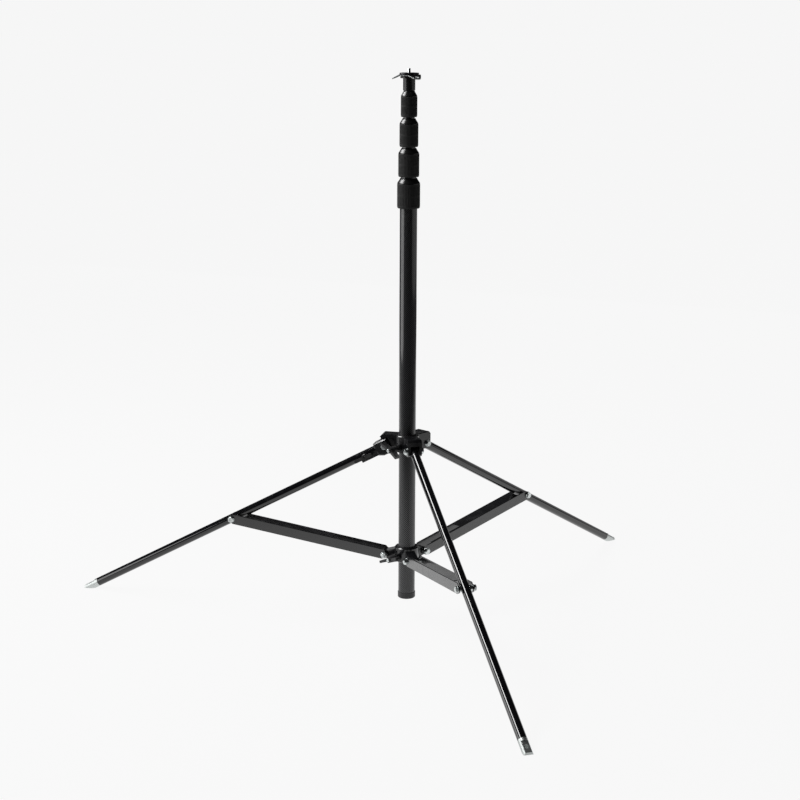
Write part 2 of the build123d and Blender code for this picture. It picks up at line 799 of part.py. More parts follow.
def make_foot(name, azimuth):
    """Cast foot: a plug in the tube and a flattened nose with a level sole and a peg hole."""
    plane = leg_plane(azimuth)
    upright = side_plane(azimuth, 0, 0, 0)
    start = leg_length - foot_length
    beyond = leg_length + 4 * foot_tip_trim
    nose = foot_radius + foot_tip_trim
    plug_radius = leg_radius - leg_wall
    with BuildPart() as foot:
        with BuildSketch(plane):
            with Locations(((start + beyond) / 2, leg_radius / 2)):
                Rectangle(beyond - start, leg_radius)
            with Locations((start - foot_plug_length / 2, plug_radius / 2)):
                Rectangle(foot_plug_length, plug_radius)
        revolve(axis=Axis(plane.origin, plane.x_dir))
        with BuildSketch(plane):
            with Locations((start + foot_flat_start + beyond / 2, foot_flat_height + leg_radius)):
                Rectangle(beyond, 2 * leg_radius)
        extrude(amount=leg_diameter, both=True, mode=Mode.SUBTRACT)
        with BuildSketch(upright):
            with Locations((foot_radius, -leg_diameter)):
                Rectangle(4 * leg_diameter, 2 * leg_diameter)
            with Locations((nose + 2 * leg_diameter, 0)):
                Rectangle(4 * leg_diameter, 4 * leg_diameter)
        extrude(amount=leg_diameter, both=True, mode=Mode.SUBTRACT)
        hole = upright.from_local_coords((nose - peg_hole_inset, 0, 0))
        with BuildSketch(Plane(origin=hole, z_dir=(0, 0, 1))):
            Circle(peg_hole_radius)
        extrude(amount=2 * leg_diameter, mode=Mode.SUBTRACT)
    save(foot, f"foot_{name}")


def make_strut_bolt(name, azimuth):
    """Bolt through the leg and the strut's walls, with a spacer each side of the leg."""
    plane = leg_plane(azimuth)
    joint = Plane(
        origin=plane.from_local_coords((strut_joint_distance, 0, 0)),
        x_dir=plane.x_dir,
        z_dir=plane.z_dir,
    )
    with BuildPart() as bolt:
        add_through_bolt(joint, strut_width / 2 + free_gap)
        for side in (1, -1):
            with BuildSketch(joint.offset(side * leg_radius)):
                Circle(spacer_radius)
                Circle(bolt_radius, mode=Mode.SUBTRACT)
            extrude(amount=side * (strut_inside - free_gap - leg_radius))
    save(bolt, f"strut_bolt_{name}")


# ---- Struts ---------------------------------------------------------------
def add_strut_walls(plane):
    """Solid bar with the channel's side outline, rounded about both pivots."""
    with BuildSketch(plane) as outline:
        with Locations((strut_length / 2, (web_top - strut_skirt_drop) / 2)):
            Rectangle(strut_length, web_top + strut_skirt_drop)
        with Locations((0, 0), (strut_length, 0)):
            Circle(strut_end_radius)
        # the lower corners run out to the rounded ends
        for end, side in ((0, 1), (strut_length, -1)):
            with BuildLine():
                Polyline(
                    (end, web_top),
                    (end + side * strut_corner, web_top),
                    (end, strut_end_radius),
                    close=True,
                )
            make_face(mode=Mode.SUBTRACT)
            with BuildLine():
                Polyline(
                    (end, -strut_skirt_drop),
                    (end + side * strut_corner, -strut_skirt_drop),
                    (end, -strut_end_radius),
                    close=True,
                )
            make_face(mode=Mode.SUBTRACT)
    extrude(outline.sketch, amount=strut_width / 2, both=True)


def make_strut(name, azimuth):
    """Inverted channel, its web cut back at both ends and slotted over the hub's lug."""
    plane = strut_plane(azimuth)
    web = strut_web_rise
    with BuildPart() as strut:
        add_strut_walls(plane)
        edges = strut.edges().filter_by(Axis(plane.origin, plane.x_dir))
        outer = edges.filter_by(lambda edge: plane.to_local_coords(edge.center()).Y > web)
        fillet(outer, radius=strut_edge_radius)
        with BuildSketch(plane):
            with Locations((strut_length / 2, web - strut_length / 2)):
                Rectangle(2 * strut_length, strut_length)
        extrude(amount=strut_inside, both=True, mode=Mode.SUBTRACT)
        with BuildSketch(plane):
            with Locations((web_cut_at_hub - strut_length / 2, web)):
                Rectangle(strut_length, 2 * strut_skirt_drop)
            with Locations((strut_length - web_cut_at_leg + strut_length / 2, web)):
                Rectangle(strut_length, 2 * strut_skirt_drop)
        extrude(amount=strut_inside, both=True, mode=Mode.SUBTRACT)
        with BuildSketch(plane):
            with Locations((web_slot_length / 2, web)):
                Rectangle(web_slot_length, 2 * strut_skirt_drop)
        extrude(amount=lug_width / 2 + free_gap, both=True, mode=Mode.SUBTRACT)
        with BuildSketch(plane):
            Circle(bolt_radius)
            with Locations((strut_length, 0)):
                Circle(bolt_radius + running_fit)
        extrude(amount=strut_width, both=True, mode=Mode.SUBTRACT)
    save(strut, f"strut_{name}")


def make_strut_pivot_studs(name, azimuth):
    """Two short pivots in a strut's walls, with spacers that end beside the hub's lug."""
    plane = side_plane(azimuth, pivot_radius, lower_pivot_height, 0)
    inner = lug_width / 2 + free_gap
    with BuildPart() as studs:
        for side in (1, -1):
            with BuildSketch(plane.offset(side * inner)):
                Circle(bolt_radius)
            extrude(amount=side * (strut_width / 2 - inner))
            with BuildSketch(plane.offset(side * inner)):
                Circle(spacer_radius)
            extrude(amount=side * (strut_inside - inner))
            add_bolt_head(plane, strut_width / 2, side < 0)
    save(studs, f"strut_pivot_studs_{name}")


# ---- Levelling clamp ------------------------------------------------------
def screw_plane(azimuth, depth):
    """Plane across the levelling screw's axis, facing sideways out of the leg."""
    plane = leg_plane(azimuth)
    return Plane(
        origin=plane.from_local_coords((level_screw_distance, -level_screw_drop, -depth)),
        x_dir=plane.x_dir,
        z_dir=-plane.z_dir,
    )


def make_level_block(azimuth):
    """Clevis around the hub's lug that holds the levelling leg, with a tongue for its screw."""
    plane = leg_plane(azimuth)
    top = leg_radius + level_block_top
    slot_end = fork_reach + wide_gap
    tongue_end = level_screw_distance + level_tongue_reach
    surface = leg_radius + level_tongue_thickness
    with BuildPart() as block:
        with BuildSketch(plane):
            with BuildLine():
                Polyline(
                    (level_block_start, level_block_bevel - level_block_drop),
                    (level_block_start + level_block_bevel, -level_block_drop),
                    (slot_end, -level_block_drop),
                    (level_block_end, -surface),
                    (level_block_end, top),
                    (level_block_start, top),
                    close=True,
                )
            make_face()
        extrude(amount=level_block_width / 2, both=True)
        ends = block.faces().filter_by(Axis(plane.origin, plane.z_dir))
        for end in ends:
            chamfer(end.outer_wire().edges(), length=level_side_bevel)
        with BuildSketch(plane):
            with Locations(((level_block_end + tongue_end) / 2 - wide_gap, -level_boss_radius)):
                Rectangle(tongue_end - level_block_end + 2 * wide_gap, 2 * level_boss_radius)
        extrude(amount=-surface)
        with BuildSketch(screw_plane(azimuth, leg_radius)):
            Circle(level_boss_radius)
        extrude(amount=level_boss_length)
        with BuildSketch(plane):
            with Locations((slot_end + tongue_end / 2, leg_radius / 2)):
                Rectangle(tongue_end, leg_radius)
        revolve(axis=Axis(plane.origin, plane.x_dir), mode=Mode.SUBTRACT)
        with BuildSketch(plane):
            with Locations((slot_end - level_block_width, 0)):
                Rectangle(2 * level_block_width, 4 * level_block_drop)
        extrude(amount=level_lug_width / 2 + free_gap, both=True, mode=Mode.SUBTRACT)
        with BuildSketch(plane):
            Circle(bolt_radius + running_fit)
        extrude(amount=level_block_width, both=True, mode=Mode.SUBTRACT)
        with BuildSketch(screw_plane(azimuth, 0)):
            Circle(level_screw_radius + running_fit)
        extrude(amount=leg_diameter, mode=Mode.SUBTRACT)
    save(block, "level_block")


def make_level_screw(azimuth):
    """Wing screw on the side of the levelling leg."""
    across = screw_plane(azimuth, leg_radius + free_gap)
    wing_start = level_boss_length + wide_gap
    with BuildPart() as screw:
        with BuildSketch(across):
            Circle(level_screw_radius)
        extrude(amount=level_screw_length)
        with BuildSketch(across.offset(wing_start)):
            Circle(level_boss_radius - edge_break)
        extrude(amount=level_wing_rise, taper=knob_draft)
        with BuildSketch(across.offset(wing_start + level_wing_rise / 2)):
            SlotOverall(level_wing_span, level_wing_height)
        extrude(amount=level_wing_depth, taper=-knob_draft)
    save(screw, "level_screw")


# ---- Build every piece ----------------------------------------------------
for section in range(lock_count + 1):
    make_tube(section)
for section in range(1, lock_count + 1):
    make_tube_guide(section)
for lock in range(lock_count):
    make_lock_base(lock)
    make_lock_collet(lock)
    make_lock_collar(lock)
    make_lock_grip(lock)
make_mast_end_cap()
make_top_cap()
make_guy_ring()
make_top_plate()
make_top_stud()
make_upper_hub()
make_lower_hub()
make_hub_liner("upper", upper_pivot_height, upper_hub_drop, upper_hub_rise)
make_hub_liner("lower", lower_pivot_height, lower_hub_drop, lower_hub_rise)
for hub_name, hub_height in (("upper", upper_pivot_height), ("lower", lower_pivot_height)):
    make_clamp_screw(hub_name, hub_height)
    make_wing_knob(hub_name, hub_height)
make_leg_pivot_bolts()
for leg_name, leg_azimuth in leg_azimuths.items():
    if leg_name != level_leg:
        make_leg_head(leg_name, leg_azimuth)
    make_leg_tube(leg_name, leg_azimuth)
    make_foot(leg_name, leg_azimuth)
    make_strut_bolt(leg_name, leg_azimuth)
    make_strut(leg_name, leg_azimuth)
    make_strut_pivot_studs(leg_name, leg_azimuth)
make_level_block(leg_azimuths[level_leg])
make_level_screw(leg_azimuths[level_leg])
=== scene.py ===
"""Finishes, fine shapes, studio and camera for the telescopic stand."""
import logging
import math
from dataclasses import dataclass
from enum import Enum
from typing import Any, Callable, Sequence

import bpy
import numpy as np
from mathutils import Matrix, Vector


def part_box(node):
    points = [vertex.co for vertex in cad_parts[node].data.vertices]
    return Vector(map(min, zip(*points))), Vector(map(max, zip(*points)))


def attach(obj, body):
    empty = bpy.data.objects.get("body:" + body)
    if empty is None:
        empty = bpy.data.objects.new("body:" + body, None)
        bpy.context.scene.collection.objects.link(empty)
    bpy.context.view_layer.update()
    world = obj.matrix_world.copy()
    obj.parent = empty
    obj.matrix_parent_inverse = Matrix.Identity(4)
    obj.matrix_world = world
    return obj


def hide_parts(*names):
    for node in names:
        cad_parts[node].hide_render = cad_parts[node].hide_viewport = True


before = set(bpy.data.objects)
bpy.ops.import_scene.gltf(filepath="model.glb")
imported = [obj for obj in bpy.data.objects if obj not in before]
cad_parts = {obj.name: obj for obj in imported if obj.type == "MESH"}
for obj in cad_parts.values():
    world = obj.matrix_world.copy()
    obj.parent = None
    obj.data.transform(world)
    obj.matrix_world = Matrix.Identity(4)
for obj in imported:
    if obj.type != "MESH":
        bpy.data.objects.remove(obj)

LOG = logging.getLogger("stand")
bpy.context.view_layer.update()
LEGS = ("front", "right", "left")
LEVEL_LEG = "left"
LOCKS = (1, 2, 3, 4)
TAU = 2.0 * math.pi
CORNER_POINTS = 6


# ---- Shader arithmetic ----------------------------------------------------
Range = tuple[float, float]
Scale = tuple[float, float, float]
Colour = tuple[float, float, float]


class Signal:
    """A number socket that takes part in Python arithmetic."""

    def __init__(self, shader: "Shader", socket: bpy.types.NodeSocket) -> None:
        """Keep the socket and the shader that owns it.

        Args:
            shader: the material being built.
            socket: an output that carries one number.
        """
        self.shader = shader
        self.socket = socket

    def __add__(self, other: Any) -> "Signal":
        """Sum."""
        return self.shader.math("ADD", self, other)

    def __sub__(self, other: Any) -> "Signal":
        """Difference."""
        return self.shader.math("SUBTRACT", self, other)

    def __rsub__(self, other: Any) -> "Signal":
        """Difference from a number."""
        return self.shader.math("SUBTRACT", other, self)

    def __mul__(self, other: Any) -> "Signal":
        """Product."""
        return self.shader.math("MULTIPLY", self, other)

    def __truediv__(self, other: Any) -> "Signal":
        """Quotient."""
        return self.shader.math("DIVIDE", self, other)

    def __lt__(self, other: Any) -> "Signal":
        """One where this is the smaller, and zero elsewhere."""
        return self.shader.math("LESS_THAN", self, other)

    def floor(self) -> "Signal":
        """Whole part, rounded down."""
        return self.shader.math("FLOOR", self)

    def fract(self) -> "Signal":
        """Part after the whole number."""
        return self.shader.math("FRACT", self)

    def sine(self) -> "Signal":
        """Sine of an angle in radians."""
        return self.shader.math("SINE", self)


class Shader:
    """Builds the node tree of one material around a Principled shader."""

    def __init__(self, name: str, **constants: Any) -> None:
        """Start a material.

        Args:
            name: the material's name.
            constants: socket names, with underscores for spaces, and their fixed values.
        """
        self.material = bpy.data.materials.new(name)
        self.material.use_nodes = True
        self.tree = self.material.node_tree
        self.surface = self.tree.nodes["Principled BSDF"]
        for socket, value in constants.items():
            self.surface.inputs[socket.replace("_", " ")].default_value = value

    def node(self, kind: str, settings: dict[str, Any], inputs: dict[Any, Any]) -> bpy.types.Node:
        """Add any node.

        Args:
            kind: the node's type, without the ShaderNode prefix.
            settings: attributes that are set before the sockets.
            inputs: socket names or numbers, with a Signal, a socket or a value each.

        Returns:
            The new node.
        """
        made = self.tree.nodes.new("ShaderNode" + kind)
        for key, value in settings.items():
            setattr(made, key, value)
        for key, value in inputs.items():
            source = value.socket if isinstance(value, Signal) else value
            if isinstance(source, bpy.types.NodeSocket):
                self.tree.links.new(source, made.inputs[key])
            else:
                made.inputs[key].default_value = source
        return made

    def math(self, operation: str, *values: Any) -> Signal:
        """Add a Math node over numbers and signals.

        Args:
            operation: the Math node's operation.
            values: its inputs in order.

        Returns:
            The result.
        """
        made = self.node("Math", {"operation": operation}, dict(enumerate(values)))
        return Signal(self, made.outputs[0])

    def place(self) -> tuple[bpy.types.NodeSocket, Signal, Signal, Signal]:
        """Object coordinates as a vector and as three numbers, in metres."""
        vector = self.node("TexCoord", {}, {}).outputs["Object"]
        split = self.node("SeparateXYZ", {}, {0: vector})
        axes = [Signal(self, split.outputs[axis]) for axis in "XYZ"]
        return vector, axes[0], axes[1], axes[2]

    def stretched(self, scale: Scale) -> bpy.types.NodeSocket:
        """Object coordinates scaled along each axis, for streaks."""
        vector = self.node("TexCoord", {}, {}).outputs["Object"]
        mapped = self.node("Mapping", {}, {"Vector": vector, "Scale": scale})
        return mapped.outputs["Vector"]

    def noise(
        self, scale: float, detail: float = 2.0, vector: bpy.types.NodeSocket | None = None
    ) -> Signal:
        """Noise in the piece's own coordinates.

        Args:
            scale: features per metre.
            detail: octaves of finer noise.
            vector: coordinates other than the plain ones.

        Returns:
            The noise, from 0 to 1.
        """
        source = vector if vector is not None else self.place()[0]
        made = self.node("TexNoise", {}, {"Vector": source, "Scale": scale, "Detail": detail})
        return Signal(self, made.outputs[0])

    def mixed(self, first: Signal, second: Signal, shares: Range) -> Signal:
        """Add a share of one signal to a share of another.

        Args:
            first: one signal.
            second: the other signal.
            shares: share of each, in order.

        Returns:
            The weighted sum.
        """
        return first * shares[0] + second * shares[1]

    def span(self, value: Signal, source: Range, target: Range) -> Signal:
        """Carry a value from one range to another and stop at the ends.

        Args:
            value: what is carried over.
            source: values that give the target's two ends.
            target: results at the two ends.

        Returns:
            The new value.
        """
        inputs = {0: value, 1: source[0], 2: source[1], 3: target[0], 4: target[1]}
        made = self.node("MapRange", {"interpolation_type": "SMOOTHSTEP"}, inputs)
        return Signal(self, made.outputs[0])

    def blend(self, factor: Signal, first: Sequence[float], second: Sequence[float]) -> Any:
        """Mix two colours by a signal.

        Args:
            factor: 0 for the first colour and 1 for the second.
            first: red, green and blue, or a colour socket.
            second: red, green and blue, or a colour socket.

        Returns:
            The colour socket.
        """
        made = self.node("Mix", {"data_type": "RGBA"}, {"Factor": factor})
        for slot, colour in ((6, first), (7, second)):
            if isinstance(colour, bpy.types.NodeSocket):
                self.tree.links.new(colour, made.inputs[slot])
            else:
                made.inputs[slot].default_value = (*colour, 1.0)
        return made.outputs[2]

    def drive(self, socket: str, source: Any) -> None:
        """Feed one of the Principled shader's sockets.

        Args:
            socket: the socket's name.
            source: a signal or a socket.
        """
        output = source.socket if isinstance(source, Signal) else source
        self.tree.links.new(output, self.surface.inputs[socket])

    def bump(self, height: Signal, depth: float, strength: float = 1.0) -> None:
        """Raise the surface by a height signal.

        Args:
            height: 0 to 1.
            depth: metres that a height of 1 stands for.
            strength: share of the effect.
        """
        inputs = {"Strength": strength, "Distance": depth, "Height": height}
        self.drive("Normal", self.node("Bump", {}, inputs).outputs[0])


# ---- Finishes -------------------------------------------------------------
@dataclass(frozen=True)
class Finish:
    """What every finish has: a name and a way to make its material."""

    name: str

    def material(self) -> bpy.types.Material:
        """The finish's material, made once."""
        known = bpy.data.materials.get(self.name)
        return known if known else self.build()

    def build(self) -> bpy.types.Material:
        """Make the material."""
        raise NotImplementedError


@dataclass(frozen=True)
class CarbonTwill(Finish):
    """Two-by-two twill carbon cloth wound round a tube under clear lacquer."""

    tows_round: int = 96
    tow_height: float = 0.00125
    first_count: float = 1000.0
    repeat: float = 4.0
    warp_share: float = 1.5
    warp: Colour = (0.003, 0.003, 0.004)
    # Painted sheen: the weft tows are the same black fibre as the warp, coloured lighter where
    # light would catch them.
    weft_sheen: Colour = (0.060, 0.061, 0.064)
    # Painted shade: the colour that the low parts between tows darken towards.
    hollow_shade: Colour = (0.004, 0.004, 0.005)
    specular: float = 0.12
    coat: float = 1.0
    coat_roughness: float = 0.06
    coat_index: float = 1.5
    fibre_scale: float = 2600.0
    fibre_stretch: Scale = (1.0, 1.0, 0.04)
    shade_mix: Range = (0.7, 0.3)
    shade_from: Range = (0.15, 0.95)
    shade_to: Range = (0.35, 0.0)
    roughness_from: Range = (0.3, 0.7)
    roughness: Range = (0.34, 0.5)
    depth: float = 0.00012
    strength: float = 0.8

    def build(self) -> bpy.types.Material:
        """Make the material.

        The tube is unrolled into tows round it and tows up it. A warp tow lies on top where
        the two counts differ by 0 or 1 out of 4, which steps round the tube as a diagonal.
        Both counts start high, so that they stay positive. Each tow is a half sine wave
        across its width. The weft tows' lighter colour is a painted sheen, and the darkening
        where a tow is low is painted shade.
        """
        shader = Shader(
            self.name,
            Specular_IOR_Level=self.specular,
            Coat_Weight=self.coat,
            Coat_Roughness=self.coat_roughness,
            Coat_IOR=self.coat_index,
        )
        _, x, y, z = shader.place()
        turn = shader.math("ARCTAN2", y, x) * (self.tows_round / TAU) + self.first_count
        rise = z / self.tow_height + self.first_count
        step = shader.math("FLOORED_MODULO", turn.floor() - rise.floor(), self.repeat)
        warp_on_top = step < self.warp_share
        across_warp = (turn.fract() * math.pi).sine()
        across_weft = (rise.fract() * math.pi).sine()
        height = across_warp * warp_on_top + across_weft * (1.0 - warp_on_top)
        fibre = shader.noise(self.fibre_scale, 1.0, shader.stretched(self.fibre_stretch))
        # Painted sheen: weft tows on top take the lighter colour, warp tows the dark one.
        cloth = shader.blend(warp_on_top, self.weft_sheen, self.warp)
        mixed = shader.mixed(height, fibre, self.shade_mix)
        # Painted shade: where a tow is low, the base colour darkens towards the shaded colour.
        shade = shader.span(mixed, self.shade_from, self.shade_to)
        shader.drive("Base Color", shader.blend(shade, cloth, self.hollow_shade))
        shader.drive("Roughness", shader.span(fibre, self.roughness_from, self.roughness))
        shader.bump(height, self.depth, self.strength)
        return shader.material


@dataclass(frozen=True)
class Paint(Finish):
    """Sprayed or powder-coated paint with a faint orange peel, dust and handling marks."""

    base: Colour = (0.008, 0.008, 0.009)
    worn: Colour = (0.030, 0.030, 0.032)
    roughness: Range = (0.10, 0.22)
    peel_scale: float = 420.0
    peel_depth: float = 0.00004
    coat: float = 0.6
    coat_roughness: float = 0.03
    specular: float = 0.5
    patch_scale: float = 34.0
    speck_scale: float = 2300.0
    dull_from: Range = (0.42, 0.70)
    wear: float = 0.5
    roughness_mix: Range = (0.8, 0.2)
    roughness_from: Range = (0.35, 0.72)

    def build(self) -> bpy.types.Material:
        """Make the material: noise sets the peel, and broad patches are duller."""
        shader = Shader(
            self.name,
            Coat_Weight=self.coat,
            Coat_Roughness=self.coat_roughness,
            Specular_IOR_Level=self.specular,
        )
        peel = shader.noise(self.peel_scale, 2.0)
        patch = shader.noise(self.patch_scale, 5.0)
        speck = shader.noise(self.speck_scale, 0.0)
        dull = shader.span(patch, self.dull_from, (0.0, 1.0))
        shader.drive("Base Color", shader.blend(dull * self.wear, self.base, self.worn))
        marks = shader.mixed(patch, speck, self.roughness_mix)
        shader.drive("Roughness", shader.span(marks, self.roughness_from, self.roughness))
        shader.bump(peel, self.peel_depth)
        return shader.material


@dataclass(frozen=True)
class GripRubber(Finish):
    """Matte moulded rubber with broad patches of dust."""

    base: Colour = (0.0025, 0.0025, 0.0025)
    dust: Colour = (0.006, 0.0058, 0.0055)
    specular: float = 0.1
    roughness: Range = (0.38, 0.52)
    grain_scale: float = 5200.0
    grain_depth: float = 0.00001
    cloud_scale: float = 90.0
    dust_from: Range = (0.45, 0.75)
    dust_to: Range = (0.0, 0.8)
    roughness_from: Range = (0.3, 0.7)

    def build(self) -> bpy.types.Material:
        """Make the material: fine grain for the skin and broad noise for the dust."""
        shader = Shader(self.name, Specular_IOR_Level=self.specular)
        grain = shader.noise(self.grain_scale, 2.0)
        cloud = shader.noise(self.cloud_scale, 4.0)
        dust = shader.span(cloud, self.dust_from, self.dust_to)
        shader.drive("Base Color", shader.blend(dust, self.base, self.dust))
        shader.drive("Roughness", shader.span(cloud, self.roughness_from, self.roughness))
        shader.bump(grain, self.grain_depth)
        return shader.material


@dataclass(frozen=True)
class PlatedMetal(Finish):
    """Zinc-plated or bare cast metal with a cloudy passivated skin."""

    light: Colour = (0.80, 0.83, 0.82)
    dark: Colour = (0.50, 0.54, 0.54)
    roughness: Range = (0.16, 0.34)
    grain_scale: float = 1500.0
    grain_depth: float = 0.00002
    cloud_scale: float = 240.0
    tint_from: Range = (0.35, 0.68)
    roughness_mix: Range = (0.5, 0.5)
    roughness_from: Range = (0.3, 0.7)

    def build(self) -> bpy.types.Material:
        """Make the material: clouds shift the colour and the polish, and grain the surface."""
        shader = Shader(self.name, Metallic=1.0)
        cloud = shader.noise(self.cloud_scale, 4.0)
        grain = shader.noise(self.grain_scale, 3.0)
        tint = shader.span(cloud, self.tint_from, (0.0, 1.0))
        shader.drive("Base Color", shader.blend(tint, self.light, self.dark))
        polish = shader.mixed(grain, cloud, self.roughness_mix)
        shader.drive("Roughness", shader.span(polish, self.roughness_from, self.roughness))
        shader.bump(grain, self.grain_depth)
        return shader.material


@dataclass(frozen=True)
class Moulding(Finish):
    """Moulded engineering plastic with a spark-eroded texture."""

    base: Colour = (0.022, 0.022, 0.023)
    scuffed: Colour = (0.050, 0.050, 0.052)
    roughness: Range = (0.34, 0.5)
    grain_scale: float = 2400.0
    grain_depth: float = 0.00004
    scuff_scale: float = 70.0
    worn_from: Range = (0.5, 0.75)
    worn_to: Range = (0.0, 0.7)
    roughness_mix: Range = (0.4, 0.6)
    roughness_from: Range = (0.3, 0.7)

    def build(self) -> bpy.types.Material:
        """Make the material: cell-like grain with broader scuffs."""
        shader = Shader(self.name)
        grain = shader.noise(self.grain_scale, 2.0)
        scuff = shader.noise(self.scuff_scale, 6.0)
        worn = shader.span(scuff, self.worn_from, self.worn_to)
        shader.drive("Base Color", shader.blend(worn, self.base, self.scuffed))
        rub = shader.mixed(grain, scuff, self.roughness_mix)
        shader.drive("Roughness", shader.span(rub, self.roughness_from, self.roughness))
        shader.bump(grain, self.grain_depth)
        return shader.material


@dataclass(frozen=True)
class TurnedMetal(Finish):
    """Black anodised metal with fine rings left by turning."""

    base: Colour = (0.016, 0.016, 0.018)
    bright: Colour = (0.05, 0.05, 0.055)
    metallic: float = 0.6
    ring_pitch: float = 0.0006
    cloud_scale: float = 160.0
    roughness: Range = (0.24, 0.38)
    roughness_from: Range = (0.3, 0.7)
    depth_mix: Range = (0.6, 0.4)
    depth: float = 0.00002

    def build(self) -> bpy.types.Material:
        """Make the material: rings at a fixed pitch along Z, broken by noise."""
        shader = Shader(self.name, Metallic=self.metallic)
        _, _, _, z = shader.place()
        rings = (z * (TAU / self.ring_pitch)).sine() * 0.5 + 0.5
        cloud = shader.noise(self.cloud_scale, 4.0)
        shader.drive("Base Color", shader.blend(cloud, self.base, self.bright))
        shader.drive("Roughness", shader.span(cloud, self.roughness_from, self.roughness))
        shader.bump(shader.mixed(rings, cloud, self.depth_mix), self.depth)
        return shader.material


CARBON = CarbonTwill("carbon_twill")
GLOSS_PAINT = Paint(
    "gloss_leg_paint",
    base=(0.004, 0.004, 0.005),
    worn=(0.012, 0.012, 0.013),
    roughness=(0.05, 0.10),
    peel_scale=260.0,
    peel_depth=0.000004,
)
SATIN_PAINT = Paint(
    "satin_strut_paint",
    base=(0.010, 0.010, 0.011),
    worn=(0.028, 0.028, 0.030),
    roughness=(0.20, 0.32),
    peel_scale=900.0,
    peel_depth=0.00005,
    coat=0.35,
    specular=0.8,
)
CAST_PAINT = Paint(
    "casting_paint",
    base=(0.007, 0.007, 0.008),
    worn=(0.026, 0.026, 0.028),
    roughness=(0.14, 0.30),
    peel_scale=300.0,
    peel_depth=0.00009,
    coat=0.5,
)
COLLAR_GLOSS = Paint(
    "gloss_collar",
    base=(0.004, 0.004, 0.005),
    worn=(0.010, 0.010, 0.011),
    roughness=(0.04, 0.08),
    peel_scale=260.0,
    peel_depth=0.000003,
    coat=1.0,
)
RUBBER = GripRubber("grip_rubber")
PLATED = PlatedMetal("zinc_plate")
CASTING = PlatedMetal(
    "zinc_casting",
    light=(0.66, 0.70, 0.69),
    dark=(0.34, 0.37, 0.37),
    roughness=(0.28, 0.5),
    grain_scale=900.0,
    grain_depth=0.00009,
)
PLASTIC = Moulding("black_moulding")
NYLON = Moulding("nylon", base=(0.012, 0.012, 0.012), roughness=(0.4, 0.6))
ANODISED = TurnedMetal("black_anodised")


# ---- Mesh building --------------------------------------------------------
class Wrap(Enum):
    """How a grid surface closes."""

    TUBE = "closed round, with a cap at each end"
    TORUS = "closed round and closed along"


def surface(name: str, points: np.ndarray, wrap: Wrap) -> bpy.types.Object:
    """Turn a grid of points into a closed, smooth piece with outward faces.

    Neighbouring grid points make quads. A tube's first and last rows are closed by a fan
    round their mean point. The signed volume, a third of the sum of each face's centre
    dotted with its area vector, says whether the faces point in, and then they are turned.

    Args:
        name: the piece's name.
        points: rows along the piece, columns round it, and x, y, z in metres.
        wrap: how the grid closes.

    Returns:
        The new object.
    """
    rows, columns = points.shape[:2]
    index = np.arange(rows * columns).reshape(rows, columns)
    ahead = np.roll(index, -1, axis=1)
    if wrap is Wrap.TORUS:
        upper, ahead_upper = np.roll(index, -1, axis=0), np.roll(ahead, -1, axis=0)
        lower, ahead_lower = index, ahead
    else:
        upper, ahead_upper = index[1:], ahead[1:]
        lower, ahead_lower = index[:-1], ahead[:-1]
    quads = np.stack([lower, ahead_lower, ahead_upper, upper], axis=-1).reshape(-1, 4)
    vertices = points.reshape(-1, 3)
    faces = [quads]
    if wrap is Wrap.TUBE:
        centres = np.stack([points[0].mean(axis=0), points[-1].mean(axis=0)])
        vertices = np.concatenate([vertices, centres])
        first = np.full(columns, rows * columns)
        faces.append(np.stack([ahead[0], index[0], first], axis=-1))
        faces.append(np.stack([index[-1], ahead[-1], first + 1], axis=-1))
    corners = vertices[quads]
    area = np.cross(corners[:, 2] - corners[:, 0], corners[:, 3] - corners[:, 1])
    if np.einsum("ij,ij->", corners.mean(axis=1), area) < 0.0:
        faces = [group[:, ::-1] for group in faces]
    mesh = bpy.data.meshes.new(name)
    mesh.from_pydata(vertices.tolist(), [], [f for group in faces for f in group.tolist()])
    mesh.validate()
    mesh.shade_smooth()
    piece = bpy.data.objects.new(name, mesh)
    bpy.context.scene.collection.objects.link(piece)
    return piece


def lathe(
    name: str,
    profile: np.ndarray,
    spokes: int,
    wrap: Wrap,
    relief: Callable[[np.ndarray, np.ndarray], np.ndarray] | None = None,
) -> bpy.types.Object:
    """Carry a profile round Z.

    A point is (r cos a, r sin a, h), where r is the profile's radius plus the relief at
    that angle and height.

    Args:
        name: the piece's name.
        profile: rows of radius and height, in metres.
        spokes: steps round.
        wrap: how the grid closes.
        relief: extra radius as a function of angle and height grids.

    Returns:
        The new object.
    """
    angle = np.linspace(0.0, TAU, spokes, endpoint=False)[None, :]
    radius = np.repeat(profile[:, :1], spokes, axis=1)
    height = np.repeat(profile[:, 1:], spokes, axis=1)
    if relief is not None:
        radius = radius + relief(np.repeat(angle, len(profile), axis=0), height)
    grid = np.stack([radius * np.cos(angle), radius * np.sin(angle), height], axis=-1)
    return surface(name, grid, wrap)


def rounded(corners: Sequence[tuple[float, float, float]]) -> np.ndarray:
    """Outline of a closed shape with rounded corners.

    Each corner is replaced by a quadratic curve that starts and ends its rounding length
    from the corner: (1-t)^2 start + 2t(1-t) corner + t^2 end.

    Args:
        corners: x, y and rounding length of each corner.

    Returns:
        Rows of x and y.
    """
    spots = np.array([corner[:2] for corner in corners])
    blends = [corner[2] for corner in corners]
    share = np.linspace(0.0, 1.0, CORNER_POINTS)[:, None]
    path = []
    for number, (spot, blend) in enumerate(zip(spots, blends)):
        if blend == 0.0:
            path.append(spot[None, :])
            continue
        before = spots[number - 1] - spot
        after = spots[(number + 1) % len(spots)] - spot
        start = spot + before / np.linalg.norm(before) * blend
        end = spot + after / np.linalg.norm(after) * blend
        path.append((1 - share) ** 2 * start + 2 * share * (1 - share) * spot + share**2 * end)
    return np.concatenate(path)


